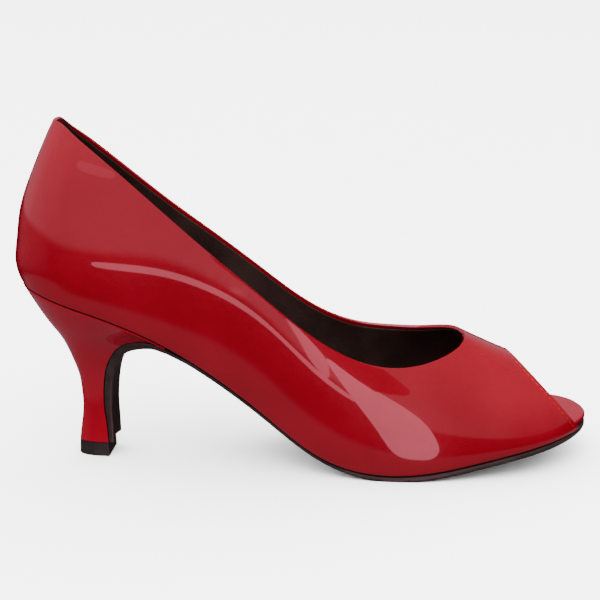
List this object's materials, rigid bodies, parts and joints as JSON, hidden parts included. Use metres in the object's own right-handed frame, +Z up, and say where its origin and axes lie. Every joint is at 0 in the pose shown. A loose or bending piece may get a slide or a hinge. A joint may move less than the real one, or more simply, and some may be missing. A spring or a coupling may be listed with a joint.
{
  "type": "peep toe pump",
  "caption": "Right peep toe pump in patent leather with a low-cut topline, an open toe, a covered high heel and a thin sole that runs down the heel's front.",
  "frame": {"origin": "middle of the heel tip's flat underside, on the floor that the shoe stands on", "axes": "+X towards the toe, +Z up, -Y towards the outer side of the right foot"},
  "size_m": [0.225, 0.0757, 0.1343],
  "materials": {
    "patent_leather": "gloss",
    "insole_leather": "satin",
    "heel_cover": "gloss",
    "sole_resin": "matte",
    "tip_resin": "matte"
  },
  "bodies": {
    "root": {"upper": "patent_leather", "insole": "insole_leather", "heel": "heel_cover", "outsole": "sole_resin", "heel_tip": "tip_resin"}
  },
  "joints": []
}
